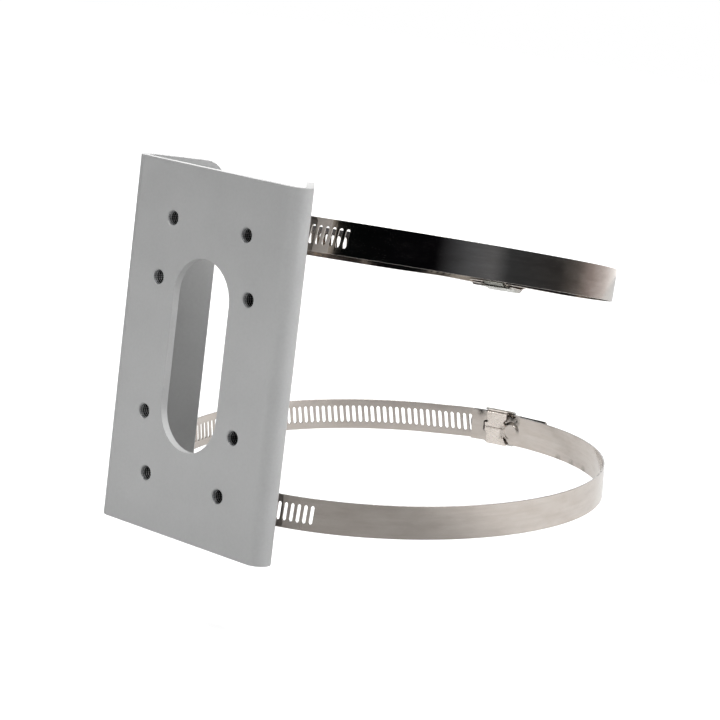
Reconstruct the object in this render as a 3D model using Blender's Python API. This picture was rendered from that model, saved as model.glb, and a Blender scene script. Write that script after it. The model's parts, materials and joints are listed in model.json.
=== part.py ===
"""Pole mount for a security camera.

A folded steel plate carries the camera on its flat front face. Its two side
flanges are folded back and inwards, and their edges rest on the pole. Two
slotted steel straps pass through the flanges, go round the pole and close in
worm-drive clamps.

Row frame: X to the plate's right seen from the front, Y towards the pole,
Z up. The origin is the middle of the pole seat, in the plane of the flange
edges. Angles round a strap loop are counted from the point behind the plate,
towards +X.
"""
from math import atan2, cos, hypot, pi, radians, sin, sqrt

import bmesh
import bpy
from mathutils import Matrix, Vector

MM = 0.001

# Running gap between neighbouring pieces
GAP = 0.3 * MM
# How far a cutter runs past the surface that it cuts
OVERRUN = 4.0 * MM

# Folded plate
PLATE_HEIGHT = 140.0 * MM
PLATE_WIDTH = 89.2 * MM
SHEET = 3.0 * MM
BEND_RADIUS = 5.4 * MM
FLANGE_SLOPE = radians(45.0)
FLANGE_LENGTH = 26.5 * MM
FLANGE_CORNER_RADIUS = 7.0 * MM
BEND_STEPS = 9
CORNER_STEPS = 6

# Cable opening in the web. Each margin is the distance to the ends of the plate
OPENING_WIDTH = 30.4 * MM
OPENING_END_MARGIN = 33.35 * MM
OPENING_STEPS = 16

# Tapped holes: an outer set of four and an inner set of four
OUTER_HOLE_SPACING_X = 40.2 * MM
OUTER_HOLE_END_MARGIN = 21.05 * MM
INNER_HOLE_SPACING_X = 49.4 * MM
INNER_HOLE_SPACING_Z = 51.6 * MM
HOLE_DIAMETER = 5.5 * MM
HOLE_CHAMFER = 0.45 * MM
HOLE_SIDES = 20

# Collar that is drawn out of the sheet round each hole, to carry its thread
COLLAR_HEIGHT = 3.5 * MM
COLLAR_WALL = 1.5 * MM

# Strap slots in the flanges, across the flange measured from its bend
SLOT_CENTRE = 14.5 * MM
SLOT_WIDTH = 12.0 * MM
SLOT_HEIGHT = 18.0 * MM
SLOT_END_MARGIN = 20.0 * MM
SLOT_CORNER_RADIUS = 2.0 * MM

# Strap band: where its middle crosses each flange, along the flange
BAND_CROSSING_RIGHT = 12.5 * MM
BAND_CROSSING_LEFT = 17.0 * MM
BAND_WIDTH = 12.7 * MM
BAND_THICKNESS = 0.65 * MM
LOOP_RADIUS = 86.0 * MM
# Room under the middle of the band where it rests in its left slot
SEAT_GAP = 0.5 * MM
# The loop swells over this angle each side of its left crossing
SWELL_ANGLE = radians(45.0)
# A twisted strap turns over this angle each side of its clamp
TWIST_ANGLE = radians(45.0)
PLAIN_STEP = radians(2.5)

# Worm slots punched through the band
PERFORATION_PITCH = 2.656 * MM
PERFORATION_WIDTH = 1.45 * MM
PERFORATION_LENGTH = 7.1 * MM

# How far the plain end runs past the middle of the clamp
PLAIN_END_REACH = 12.2 * MM
# The slotted end climbs onto the plain end over this angle
CLIMB_ANGLE = radians(16.0)
TAIL_LIFT = 1.2 * MM
TAIL_TAPER = 1.8 * MM

# Locking button pressed inwards beside the saddle
BUTTON_REACH = 7.4 * MM
BUTTON_RADIUS = 2.3 * MM
BUTTON_HEIGHT = 0.45 * MM
BUTTON_WALL = 0.55 * MM
BUTTON_SIDES = 16

# Saddle folded round the plain end of the band
SADDLE_SHEET = 0.6 * MM
SADDLE_LENGTH = 9.8 * MM
SADDLE_SHIFT = 0.4 * MM
SADDLE_SEAM = 0.35 * MM
SADDLE_STEPS = 4

# Housing over the worm
HOUSING_SHEET = 0.8 * MM
HOUSING_LENGTH = 13.8 * MM
HOUSING_FOLD_RADIUS = 1.2 * MM
DOME_STEPS = 12

# Worm screw
WORM_RADIUS = 3.9 * MM
THREAD_DEPTH = 0.9 * MM
THREAD_RINGS_PER_PITCH = 6
# Slope of the thread's flanks, where 1 is a plain zigzag and more leaves flat crests
THREAD_FLANK_SLOPE = 2.2
NECK_RADIUS = 2.1 * MM
PILOT_OVERHANG = 0.5 * MM
HEAD_ACROSS_FLATS = 8.0 * MM
HEAD_LENGTH = 7.4 * MM
HEAD_CHAMFER = 0.6 * MM
DRIVER_SLOT_WIDTH = 1.2 * MM
DRIVER_SLOT_DEPTH = 1.8 * MM
SCREW_SIDES = 18

# Each strap: tilt of its far side, roll of its right side, offset of its centre to
# the right, the angles of its clamp and of its first worm slot, how far its tail
# passes the clamp's middle, and its twist at the clamp
UPPER_STRAP = {
    "name": "upper",
    "side": 1,
    "tilt": radians(-7.2),
    "roll": radians(-3.6),
    "centre_offset": 5.0 * MM,
    "clamp_angle": radians(191.7),
    "first_slot_angle": radians(29.8),
    "tail_reach": 13.7 * MM,
    "twist": radians(31.0),
}
LOWER_STRAP = {
    "name": "lower",
    "side": -1,
    "tilt": radians(5.0),
    "roll": radians(-0.75),
    "centre_offset": 10.9 * MM,
    "clamp_angle": radians(191.0),
    "first_slot_angle": radians(25.6),
    "tail_reach": 24.0 * MM,
    "twist": radians(0.0),
}


# Places that follow from the sizes above

BEND_CENTRE_X = PLATE_WIDTH / 2 - BEND_RADIUS
# Distance along Y from the front face to the outer end of the bend
BEND_DEPTH = BEND_RADIUS * (1 + cos(FLANGE_SLOPE))
SEAT_DEPTH = BEND_DEPTH + FLANGE_LENGTH * sin(FLANGE_SLOPE)
FRONT_Y = -SEAT_DEPTH
OPENING_HEIGHT = PLATE_HEIGHT - 2 * OPENING_END_MARGIN
OUTER_HOLE_SPACING_Z = PLATE_HEIGHT - 2 * OUTER_HOLE_END_MARGIN
SLOT_SPACING_Z = PLATE_HEIGHT - 2 * SLOT_END_MARGIN


def flange_matrix(side):
    """Frame of a flange: X along it from the bend, Y along Z, Z outwards."""
    along = Vector((-side * cos(FLANGE_SLOPE), sin(FLANGE_SLOPE), 0))
    outwards = Vector((side * sin(FLANGE_SLOPE), cos(FLANGE_SLOPE), 0))
    start = Vector((
        side * (BEND_CENTRE_X + BEND_RADIUS * sin(FLANGE_SLOPE)),
        FRONT_Y + BEND_DEPTH,
        0,
    ))
    upwards = outwards.cross(along)
    matrix = Matrix((along, upwards, outwards)).transposed().to_4x4()
    matrix.translation = start
    return matrix


# Scene helpers

def clear_scene():
    for item in list(bpy.data.objects):
        bpy.data.objects.remove(item, do_unlink=True)


def make_material(name, colour, roughness, metallic):
    material = bpy.data.materials.new(name)
    material.use_nodes = True
    shader = material.node_tree.nodes["Principled BSDF"]
    shader.inputs["Base Color"].default_value = (*colour, 1.0)
    shader.inputs["Roughness"].default_value = roughness
    shader.inputs["Metallic"].default_value = metallic
    return material


def make_object(name, builder, material=None, parent=None):
    """Turn a bmesh into a named object, with outward normals."""
    bmesh.ops.recalc_face_normals(builder, faces=builder.faces)
    mesh = bpy.data.meshes.new(name)
    builder.to_mesh(mesh)
    builder.free()
    item = bpy.data.objects.new(name, mesh)
    bpy.context.collection.objects.link(item)
    if material:
        mesh.materials.append(material)
        mesh.shade_smooth()
        mesh.set_sharp_from_angle(angle=radians(30))
    if parent:
        item.parent = parent
    return item


def make_empty(name, parent=None):
    item = bpy.data.objects.new(name, None)
    bpy.context.collection.objects.link(item)
    if parent:
        item.parent = parent
    return item


def cut(target, cutter, operation="DIFFERENCE"):
    """Boolean with a hidden cutter."""
    cutter.hide_render = True
    cutter.display_type = "WIRE"
    modifier = target.modifiers.new(cutter.name, "BOOLEAN")
    modifier.operation = operation
    modifier.solver = "EXACT"
    modifier.object = cutter


# Outlines

def arc(centre_x, centre_y, radius, start, end, steps):
    """Points on an arc, both ends included."""
    points = []
    for index in range(steps + 1):
        angle = start + (end - start) * index / steps
        points.append((centre_x + radius * cos(angle), centre_y + radius * sin(angle)))
    return points


def stadium(width, height, steps):
    """Upright slot round the origin with half-round ends."""
    radius = width / 2
    y = height / 2 - radius
    return arc(0, y, radius, 0, pi, steps) + arc(0, -y, radius, pi, 2 * pi, steps)


def rounded_rectangle(width, height, radius, steps):
    """Rectangle round the origin with rounded corners."""
    x = width / 2 - radius
    y = height / 2 - radius
    outline = arc(x, y, radius, 0, pi / 2, steps)
    outline += arc(-x, y, radius, pi / 2, pi, steps)
    outline += arc(-x, -y, radius, pi, 3 * pi / 2, steps)
    outline += arc(x, -y, radius, 3 * pi / 2, 2 * pi, steps)
    return outline


def add_prism(builder, outline, low, high, matrix=Matrix()):
    """Extrude a closed outline from low to high along Z, then place it."""
    rings = []
    for height in (low, high):
        rings.append([builder.verts.new(matrix @ Vector((x, y, height))) for x, y in outline])
    bottom, top = rings
    builder.faces.new(bottom)
    builder.faces.new(top)
    for index in range(len(outline)):
        following = (index + 1) % len(outline)
        builder.faces.new((bottom[index], bottom[following], top[following], top[index]))


def add_turned(builder, rings, sides, matrix=Matrix()):
    """Closed turned solid along Z from (height, radius) rings.

    A radius may be a function of the angle.
    """
    loops = []
    for height, radius in rings:
        loop = []
        for index in range(sides):
            angle = 2 * pi * index / sides
            reach = radius(angle) if callable(radius) else radius
            point = Vector((reach * cos(angle), reach * sin(angle), height))
            loop.append(builder.verts.new(matrix @ point))
        loops.append(loop)
    builder.faces.new(loops[0])
    builder.faces.new(loops[-1])
    for lower, upper in zip(loops, loops[1:]):
        for index in range(sides):
            following = (index + 1) % sides
            builder.faces.new((lower[index], lower[following], upper[following], upper[index]))


# Bracket plate

def plate_outline():
    """Section of the folded sheet, seen from above."""
    turn = pi - FLANGE_SLOPE
    inner_radius = BEND_RADIUS - SHEET
    bend_y = FRONT_Y + BEND_RADIUS
    along = Vector((-cos(FLANGE_SLOPE), sin(FLANGE_SLOPE)))
    outer_bend = arc(BEND_CENTRE_X, bend_y, BEND_RADIUS, -pi / 2, -pi / 2 + turn, BEND_STEPS)
    inner_bend = arc(BEND_CENTRE_X, bend_y, inner_radius, -pi / 2 + turn, -pi / 2, BEND_STEPS)
    outer_end = Vector(outer_bend[-1]) + along * FLANGE_LENGTH
    inner_end = Vector(inner_bend[0]) + along * FLANGE_LENGTH
    right = outer_bend + [tuple(outer_end), tuple(inner_end)] + inner_bend
    left = [(-x, y) for x, y in reversed(right)]
    return right + left


def build_plate(material):
    builder = bmesh.new()
    add_prism(builder, plate_outline(), -PLATE_HEIGHT / 2, PLATE_HEIGHT / 2)
    plate = make_object("bracket_plate", builder, material)
    cut(plate, hole_collars(), "UNION")
    for cutter in (cable_opening(), tapped_holes(), strap_slots(), flange_corners()):
        cut(plate, cutter)
    return plate


def web_matrix():
    """Frame of the web: X right, Y up, Z out of the front face."""
    matrix = Matrix.Rotation(pi / 2, 4, "X")
    matrix.translation = Vector((0, FRONT_Y, 0))
    return matrix


def cable_opening():
    builder = bmesh.new()
    outline = stadium(OPENING_WIDTH, OPENING_HEIGHT, OPENING_STEPS)
    add_prism(builder, outline, -SHEET - OVERRUN, OVERRUN, web_matrix())
    return make_object("cable_opening_cutter", builder)


def hole_places():
    """Frames of the tapped holes, Z out of the front face."""
    places = []
    for spacing_x, spacing_z in (
        (OUTER_HOLE_SPACING_X, OUTER_HOLE_SPACING_Z),
        (INNER_HOLE_SPACING_X, INNER_HOLE_SPACING_Z),
    ):
        for side in (-1, 1):
            for end in (-1, 1):
                centre = Vector((side * spacing_x / 2, end * spacing_z / 2, 0))
                places.append(web_matrix() @ Matrix.Translation(centre))
    return places


def hole_collars():
    """Collars behind the sheet, rooted in the middle of its thickness."""
    builder = bmesh.new()
    radius = HOLE_DIAMETER / 2 + COLLAR_WALL
    back = -SHEET - COLLAR_HEIGHT
    rings = [(back, radius - HOLE_CHAMFER), (back + HOLE_CHAMFER, radius), (-SHEET / 2, radius)]
    for place in hole_places():
        add_turned(builder, rings, HOLE_SIDES, place)
    return make_object("hole_collar_cutter", builder)


def tapped_holes():
    builder = bmesh.new()
    radius = HOLE_DIAMETER / 2
    mouth = radius + HOLE_CHAMFER
    rings = [
        (-SHEET - COLLAR_HEIGHT - OVERRUN, radius),
        (-HOLE_CHAMFER, radius),
        (OVERRUN, mouth + OVERRUN),
    ]
    for place in hole_places():
        add_turned(builder, rings, HOLE_SIDES, place)
    return make_object("tapped_hole_cutter", builder)


def strap_slots():
    builder = bmesh.new()
    outline = rounded_rectangle(SLOT_WIDTH, SLOT_HEIGHT, SLOT_CORNER_RADIUS, CORNER_STEPS // 2)
    for side in (-1, 1):
        for end in (-1, 1):
            place = Matrix.Translation((SLOT_CENTRE, end * SLOT_SPACING_Z / 2, 0))
            add_prism(builder, outline, -SHEET - OVERRUN / 4, OVERRUN / 4, flange_matrix(side) @ place)
    return make_object("strap_slot_cutter", builder)


def flange_corners():
    """What is cut away outside the rounded corners of the flanges."""
    builder = bmesh.new()
    radius = FLANGE_CORNER_RADIUS
    x = FLANGE_LENGTH - radius
    y = PLATE_HEIGHT / 2 - radius
    outline = arc(x, y, radius, 0, pi / 2, CORNER_STEPS)
    outline += [(x, y + radius + OVERRUN), (x + radius + OVERRUN, y + radius + OVERRUN)]
    outline += [(x + radius + OVERRUN, y)]
    for side in (-1, 1):
        for end in (-1, 1):
            corner = [(x, end * y) for x, y in outline]
            add_prism(builder, corner, -SHEET - OVERRUN / 4, OVERRUN / 4, flange_matrix(side))
    return make_object("flange_corner_cutter", builder)


# Strap loop

# Radial places in the clamp, outwards from the middle of the plain end
SADDLE_FACE = BAND_THICKNESS / 2 + GAP
SADDLE_BACK = SADDLE_FACE + SADDLE_SHEET
OUTER_LAYER = SADDLE_BACK + GAP + BAND_THICKNESS / 2
CHANNEL_TOP = OUTER_LAYER + BAND_THICKNESS / 2 + GAP
WORM_AXIS = CHANNEL_TOP + WORM_RADIUS
CHANNEL_HALF_WIDTH = BAND_WIDTH / 2 + GAP
CAVITY_RADIUS = WORM_RADIUS + GAP
# The band's slots slant as the worm's thread does at this radius
PITCH_RADIUS = WORM_RADIUS - THREAD_DEPTH / 2


def smooth_step(position):
    """Rise from 0 to 1 as the position goes from 0 to 1, level at both ends."""
    held = min(max(position, 0.0), 1.0)
    return (1 - cos(pi * held)) / 2


class StrapPath:
    """Course of one strap, in the frame of the axis that it tilts on.

    X and Y lie in the plane of the loop and Z is across the band.
    """

    def __init__(self, strap):
        self.strap = strap
        self.clamp_angle = strap["clamp_angle"]
        self.pivot = Vector((0, self.crossing(-1).y, self.seat_height()))
        right = self.crossing(1) - self.pivot.xy
        left = self.crossing(-1) - self.pivot.xy
        self.centre_x = strap["centre_offset"]
        reach = right.x - self.centre_x
        self.centre_y = right.y + sqrt(LOOP_RADIUS ** 2 - reach ** 2)
        self.left_angle = atan2(left.x - self.centre_x, self.centre_y - left.y)
        left_radius = hypot(left.x - self.centre_x, left.y - self.centre_y)
        self.swell = left_radius - LOOP_RADIUS

    @staticmethod
    def crossing(side):
        """Middle of the flange's sheet where the strap goes through."""
        along = BAND_CROSSING_RIGHT if side > 0 else BAND_CROSSING_LEFT
        point = flange_matrix(side) @ Vector((along, 0, -SHEET / 2))
        return point.xy

    def seat_height(self):
        """Height of the tilt axis with the band on the bottom of its left slot."""
        strap = self.strap
        slot_bottom = strap["side"] * SLOT_SPACING_Z / 2 - SLOT_HEIGHT / 2
        sideways = -self.crossing(-1).x * sin(strap["roll"])
        below = BAND_WIDTH / 2 * cos(strap["roll"])
        return slot_bottom + SEAT_GAP + (below - sideways) * cos(strap["tilt"])

    def matrix(self):
        """Place of the tilt axis in the row frame."""
        tilt = Matrix.Rotation(self.strap["tilt"], 4, "X")
        roll = Matrix.Rotation(self.strap["roll"], 4, "Y")
        return Matrix.Translation(self.pivot) @ tilt @ roll

    def outer_offset(self, angle):
        """Offset of the slotted end above the plain end, for angles below zero."""
        clamp = self.clamp_angle - 2 * pi
        half = HOUSING_LENGTH / 2 / LOOP_RADIUS
        climb = smooth_step((angle - clamp - half) / CLIMB_ANGLE)
        tail = self.strap["tail_reach"] / LOOP_RADIUS - half
        lift = smooth_step((clamp - half - angle) / tail / 2)
        return OUTER_LAYER * (1 - climb) + TAIL_LIFT * 2 * lift

    def frame(self, angle):
        """Frame on the band: X across it, Y outwards, Z along it."""
        swell = abs(angle - self.left_angle) / SWELL_ANGLE
        radius = LOOP_RADIUS + self.swell * (1 - smooth_step(swell))
        offset = self.outer_offset(angle) if angle < 0 else 0
        radial = Vector((sin(angle), -cos(angle), 0))
        onwards = Vector((cos(angle), sin(angle), 0))
        turned = angle if angle > 0 else angle + 2 * pi
        twist = self.strap["twist"]
        twist *= 1 - smooth_step(abs(turned - self.clamp_angle) / TWIST_ANGLE)
        across = Vector((0, 0, 1)) * cos(twist) + radial * sin(twist)
        outward = radial * cos(twist) - Vector((0, 0, 1)) * sin(twist)
        matrix = Matrix((across, outward, onwards)).transposed().to_4x4()
        centre = Vector((self.centre_x, self.centre_y, 0))
        matrix.translation = centre + radial * radius + outward * offset
        return matrix


class BandBuilder:
    """Grows a band station by station, with its two faces kept side by side."""

    def __init__(self, path):
        self.path = path
        self.builder = bmesh.new()
        self.edge = None

    def pair(self, angle, across):
        """Outer and inner vertex at one place of the band."""
        matrix = self.path.frame(angle)
        return tuple(
            self.builder.verts.new(matrix @ Vector((across, height, 0)))
            for height in (BAND_THICKNESS / 2, -BAND_THICKNESS / 2)
        )

    def faces(self, pairs):
        """The same outline on both faces of the band."""
        self.builder.faces.new([outer for outer, inner in pairs])
        self.builder.faces.new([inner for outer, inner in reversed(pairs)])

    def wall(self, first, second):
        """Wall through the thickness between two places."""
        self.builder.faces.new((first[0], second[0], second[1], first[1]))

    def start(self, angle, half_width):
        self.edge = (self.pair(angle, -half_width), self.pair(angle, half_width))
        self.wall(self.edge[1], self.edge[0])

    def advance(self, angle, half_width=BAND_WIDTH / 2):
        """Plain stretch of band up to a new angle."""
        low, high = self.edge
        new_low = self.pair(angle, -half_width)
        new_high = self.pair(angle, half_width)
        self.faces((low, new_low, new_high, high))
        self.wall(low, new_low)
        self.wall(new_high, high)
        self.edge = (new_low, new_high)

    def advance_slotted(self, start, end):
        """Stretch of band with one worm slot through its middle."""
        low, high = self.edge
        new_low = self.pair(end, -BAND_WIDTH / 2)
        new_high = self.pair(end, BAND_WIDTH / 2)
        slot = self.slot((start + end) / 2)
        self.faces((low, new_low, slot[3], slot[2], slot[1], slot[0]))
        self.faces((new_low, new_high, slot[4], slot[3]))
        self.faces((new_high, high, slot[7], slot[6], slot[5], slot[4]))
        self.faces((high, low, slot[0], slot[7]))
        for index in range(8):
            self.wall(slot[(index + 1) % 8], slot[index])
        self.wall(low, new_low)
        self.wall(new_high, high)
        self.edge = (new_low, new_high)

    def slot(self, angle):
        """Eight places round a worm slot, onwards below and back above."""
        radius = PERFORATION_WIDTH / 2
        slant = PERFORATION_PITCH / (2 * pi * PITCH_RADIUS)
        cap = radius * sin(radians(60))
        shoulder = PERFORATION_LENGTH / 2 - cap
        places = []
        for side in (-1, 1):
            for step in (-2, -1, 1, 2):
                reach = radius if abs(step) == 2 else radius / 2
                height = shoulder if abs(step) == 2 else shoulder + cap
                forward = side * (height * slant - reach * step / abs(step))
                places.append(self.pair(angle + forward / LOOP_RADIUS, side * height))
        return places

    def finish(self):
        self.wall(self.edge[0], self.edge[1])
        return self.builder


def build_band(path, material, parent):
    strap = path.strap
    band = BandBuilder(path)
    step = PERFORATION_PITCH / LOOP_RADIUS
    tail_angle = path.clamp_angle - 2 * pi - strap["tail_reach"] / LOOP_RADIUS
    slots = int((strap["first_slot_angle"] - tail_angle) / step)
    slotted_start = strap["first_slot_angle"] + step / 2 - slots * step
    band.start(tail_angle, BAND_WIDTH / 2 - TAIL_TAPER)
    band.advance(slotted_start)
    for index in range(slots):
        start = slotted_start + index * step
        band.advance_slotted(start, start + step)
    plain_start = slotted_start + slots * step
    plain_end = path.clamp_angle + PLAIN_END_REACH / LOOP_RADIUS
    stretches = int((plain_end - plain_start) / PLAIN_STEP) + 1
    for index in range(1, stretches + 1):
        band.advance(plain_start + (plain_end - plain_start) * index / stretches)
    item = make_object("strap_band_" + strap["name"], band.finish(), material, parent)
    cut(item, button(path, parent), "UNION")
    cut(item, button_recess(path, parent))
    return item


def button_matrix(path):
    """Frame of the locking button: Z points to the middle of the loop."""
    angle = path.clamp_angle - BUTTON_REACH / LOOP_RADIUS
    return path.frame(angle) @ Matrix.Rotation(pi / 2, 4, "X")


def button(path, parent):
    builder = bmesh.new()
    face = BAND_THICKNESS / 2
    rings = [
        (0, BUTTON_RADIUS),
        (face + BUTTON_HEIGHT / 2, BUTTON_RADIUS),
        (face + BUTTON_HEIGHT, BUTTON_RADIUS - BUTTON_HEIGHT / 2),
    ]
    add_turned(builder, rings, BUTTON_SIDES, button_matrix(path))
    return make_object("button_cutter_" + path.strap["name"], builder, parent=parent)


def button_recess(path, parent):
    builder = bmesh.new()
    radius = BUTTON_RADIUS - BUTTON_WALL
    rings = [
        (-BAND_THICKNESS / 2 - GAP / 2, radius),
        (BUTTON_HEIGHT - BAND_THICKNESS / 2, radius),
    ]
    add_turned(builder, rings, BUTTON_SIDES, button_matrix(path))
    return make_object("recess_cutter_" + path.strap["name"], builder, parent=parent)


# Clamp

def add_sweep(builder, outline, matrices):
    """Closed outline swept through a row of frames."""
    rings = []
    for matrix in matrices:
        rings.append([builder.verts.new(matrix @ Vector((x, y, 0))) for x, y in outline])
    builder.faces.new(rings[0])
    builder.faces.new(rings[-1])
    for ring, onward in zip(rings, rings[1:]):
        for index in range(len(outline)):
            following = (index + 1) % len(outline)
            builder.faces.new((ring[index], ring[following], onward[following], onward[index]))


def saddle_outline():
    """Section of the saddle: a flat sleeve with a seam on its inner side."""
    x = BAND_WIDTH / 2
    y = BAND_THICKNESS / 2
    inner = GAP
    outer = GAP + SADDLE_SHEET
    seam = SADDLE_SEAM / 2
    corners = ((x, -y, -pi / 2), (x, y, 0), (-x, y, pi / 2), (-x, -y, pi))
    outline = [(seam, -y - outer)]
    for corner_x, corner_y, start in corners:
        outline += arc(corner_x, corner_y, outer, start, start + pi / 2, 3)
    outline += [(-seam, -y - outer), (-seam, -y - inner)]
    for corner_x, corner_y, start in reversed(corners):
        outline += arc(corner_x, corner_y, inner, start + pi / 2, start, 2)
    outline += [(seam, -y - inner)]
    return outline


def build_saddle(path, material, parent):
    builder = bmesh.new()
    matrices = []
    for index in range(SADDLE_STEPS + 1):
        along = SADDLE_SHIFT + SADDLE_LENGTH * (index / SADDLE_STEPS - 0.5)
        matrices.append(path.frame(path.clamp_angle + along / LOOP_RADIUS))
    add_sweep(builder, saddle_outline(), matrices)
    return make_object("clamp_saddle_" + path.strap["name"], builder, material, parent)


def housing_outline():
    """Outside of the housing: two feet, two shoulders and the dome."""
    half_width = CHANNEL_HALF_WIDTH + HOUSING_SHEET
    shoulder = CHANNEL_TOP + HOUSING_SHEET
    foot = SADDLE_BACK + GAP
    fold = HOUSING_FOLD_RADIUS
    dome = CAVITY_RADIUS + HOUSING_SHEET
    outline = [(half_width, foot)]
    outline += arc(half_width - fold, shoulder - fold, fold, 0, pi / 2, 3)
    outline += [(dome, shoulder)]
    outline += arc(0, WORM_AXIS, dome, 0, pi, DOME_STEPS)
    outline += [(-dome, shoulder)]
    outline += arc(fold - half_width, shoulder - fold, fold, pi / 2, pi, 3)
    outline += [(-half_width, foot)]
    return outline


def build_housing(path, material, parent):
    matrix = path.frame(path.clamp_angle)
    builder = bmesh.new()
    half = HOUSING_LENGTH / 2
    add_prism(builder, housing_outline(), -half, half, matrix)
    name = path.strap["name"]
    housing = make_object("clamp_housing_" + name, builder, material, parent)
    cut(housing, band_channel(name, matrix, parent))
    cut(housing, worm_cavity(name, matrix, parent))
    cut(housing, neck_holes(name, matrix, parent))
    return housing


def band_channel(name, matrix, parent):
    builder = bmesh.new()
    half = HOUSING_LENGTH / 2 + OVERRUN
    x = CHANNEL_HALF_WIDTH
    outline = [(-x, -OVERRUN), (x, -OVERRUN), (x, CHANNEL_TOP), (-x, CHANNEL_TOP)]
    add_prism(builder, outline, -half, half, matrix)
    return make_object("channel_cutter_" + name, builder, parent=parent)


def worm_cavity(name, matrix, parent):
    builder = bmesh.new()
    half = HOUSING_LENGTH / 2 - HOUSING_SHEET
    outline = [(CAVITY_RADIUS, CHANNEL_TOP - HOUSING_SHEET)]
    outline += arc(0, WORM_AXIS, CAVITY_RADIUS, 0, pi, DOME_STEPS)
    outline += [(-CAVITY_RADIUS, CHANNEL_TOP - HOUSING_SHEET)]
    add_prism(builder, outline, -half, half, matrix)
    return make_object("cavity_cutter_" + name, builder, parent=parent)


def neck_holes(name, matrix, parent):
    builder = bmesh.new()
    half = HOUSING_LENGTH / 2 + OVERRUN
    radius = NECK_RADIUS + GAP
    place = matrix @ Matrix.Translation((0, WORM_AXIS, 0))
    add_turned(builder, [(-half, radius), (half, radius)], SCREW_SIDES, place)
    return make_object("neck_cutter_" + name, builder, parent=parent)


def thread_radius(height, start, end):
    """Radius of the worm at a height, as a function of the angle."""

    def radius(angle):
        phase = (height / PERFORATION_PITCH - angle / (2 * pi)) % 1.0
        ridge = min(max(THREAD_FLANK_SLOPE * (1 - abs(4 * phase - 2)), -1.0), 1.0)
        fade = min((height - start) / PERFORATION_PITCH, (end - height) / PERFORATION_PITCH)
        depth = THREAD_DEPTH * (0.5 + ridge / 2) * min(2 * fade, 1.0)
        return WORM_RADIUS - THREAD_DEPTH + depth

    return radius


def hexagon_radius(angle):
    """Radius of the hexagonal head, with corners at multiples of 60 degrees."""
    sector = angle % (pi / 3)
    return HEAD_ACROSS_FLATS / 2 / cos(sector - pi / 6)


def build_screw(path, material, parent):
    cavity_end = HOUSING_LENGTH / 2 - HOUSING_SHEET
    worm_end = cavity_end - GAP
    head_start = HOUSING_LENGTH / 2 + GAP
    head_end = head_start + HEAD_LENGTH
    rings = [(-HOUSING_LENGTH / 2 - PILOT_OVERHANG, NECK_RADIUS), (-worm_end, NECK_RADIUS)]
    count = round(2 * worm_end / PERFORATION_PITCH * THREAD_RINGS_PER_PITCH)
    for index in range(count + 1):
        height = -worm_end + 2 * worm_end * index / count
        rings.append((height, thread_radius(height, -worm_end, worm_end)))
    rings += [(worm_end, NECK_RADIUS), (head_start, NECK_RADIUS)]
    flat = HEAD_ACROSS_FLATS / 2
    rings += [
        (head_start, flat),
        (head_start + HEAD_CHAMFER / 2, hexagon_radius),
        (head_end - HEAD_CHAMFER, hexagon_radius),
        (head_end, flat),
    ]
    builder = bmesh.new()
    add_turned(builder, rings, SCREW_SIDES)
    name = path.strap["name"]
    screw = make_object("worm_screw_" + name, builder, material, parent)
    cut(screw, driver_slot(name, head_end, parent))
    return screw


def driver_slot(name, head_end, parent):
    builder = bmesh.new()
    half_width = DRIVER_SLOT_WIDTH / 2
    reach = HEAD_ACROSS_FLATS
    outline = [(-reach, -half_width), (reach, -half_width), (reach, half_width), (-reach, half_width)]
    add_prism(builder, outline, head_end - DRIVER_SLOT_DEPTH, head_end + OVERRUN)
    return make_object("driver_slot_cutter_" + name, builder, parent=parent)


def build_strap(strap, materials):
    """One strap with its clamp, on the axis that it tilts about."""
    path = StrapPath(strap)
    tilt_axis = make_empty("strap_axis_" + strap["name"])
    tilt_axis.matrix_world = path.matrix()
    build_band(path, materials["band"], tilt_axis)
    build_saddle(path, materials["saddle"], tilt_axis)
    build_housing(path, materials["housing"], tilt_axis)
    screw_axis = make_empty("screw_axis_" + strap["name"], tilt_axis)
    place = path.frame(path.clamp_angle) @ Matrix.Translation((0, WORM_AXIS, 0))
    screw_axis.matrix_local = place
    build_screw(path, materials["screw"], screw_axis)


def main():
    clear_scene()
    plate_steel = make_material("painted_plate_steel", (0.46, 0.48, 0.47), 0.42, 0.25)
    materials = {
        "band": make_material("strap_steel", (0.52, 0.50, 0.47), 0.3, 1.0),
        "saddle": make_material("saddle_steel", (0.56, 0.54, 0.51), 0.32, 1.0),
        "housing": make_material("housing_steel", (0.5, 0.5, 0.48), 0.28, 1.0),
        "screw": make_material("screw_steel", (0.3, 0.29, 0.28), 0.4, 1.0),
    }
    build_plate(plate_steel)
    build_strap(UPPER_STRAP, materials)
    build_strap(LOWER_STRAP, materials)


main()
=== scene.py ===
"""Looks of the camera pole mount: a painted steel bracket and two worm-drive straps."""

import json
from math import cos, pi, radians, sin, tan

import bmesh
import bpy
from mathutils import Matrix, Vector


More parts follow.
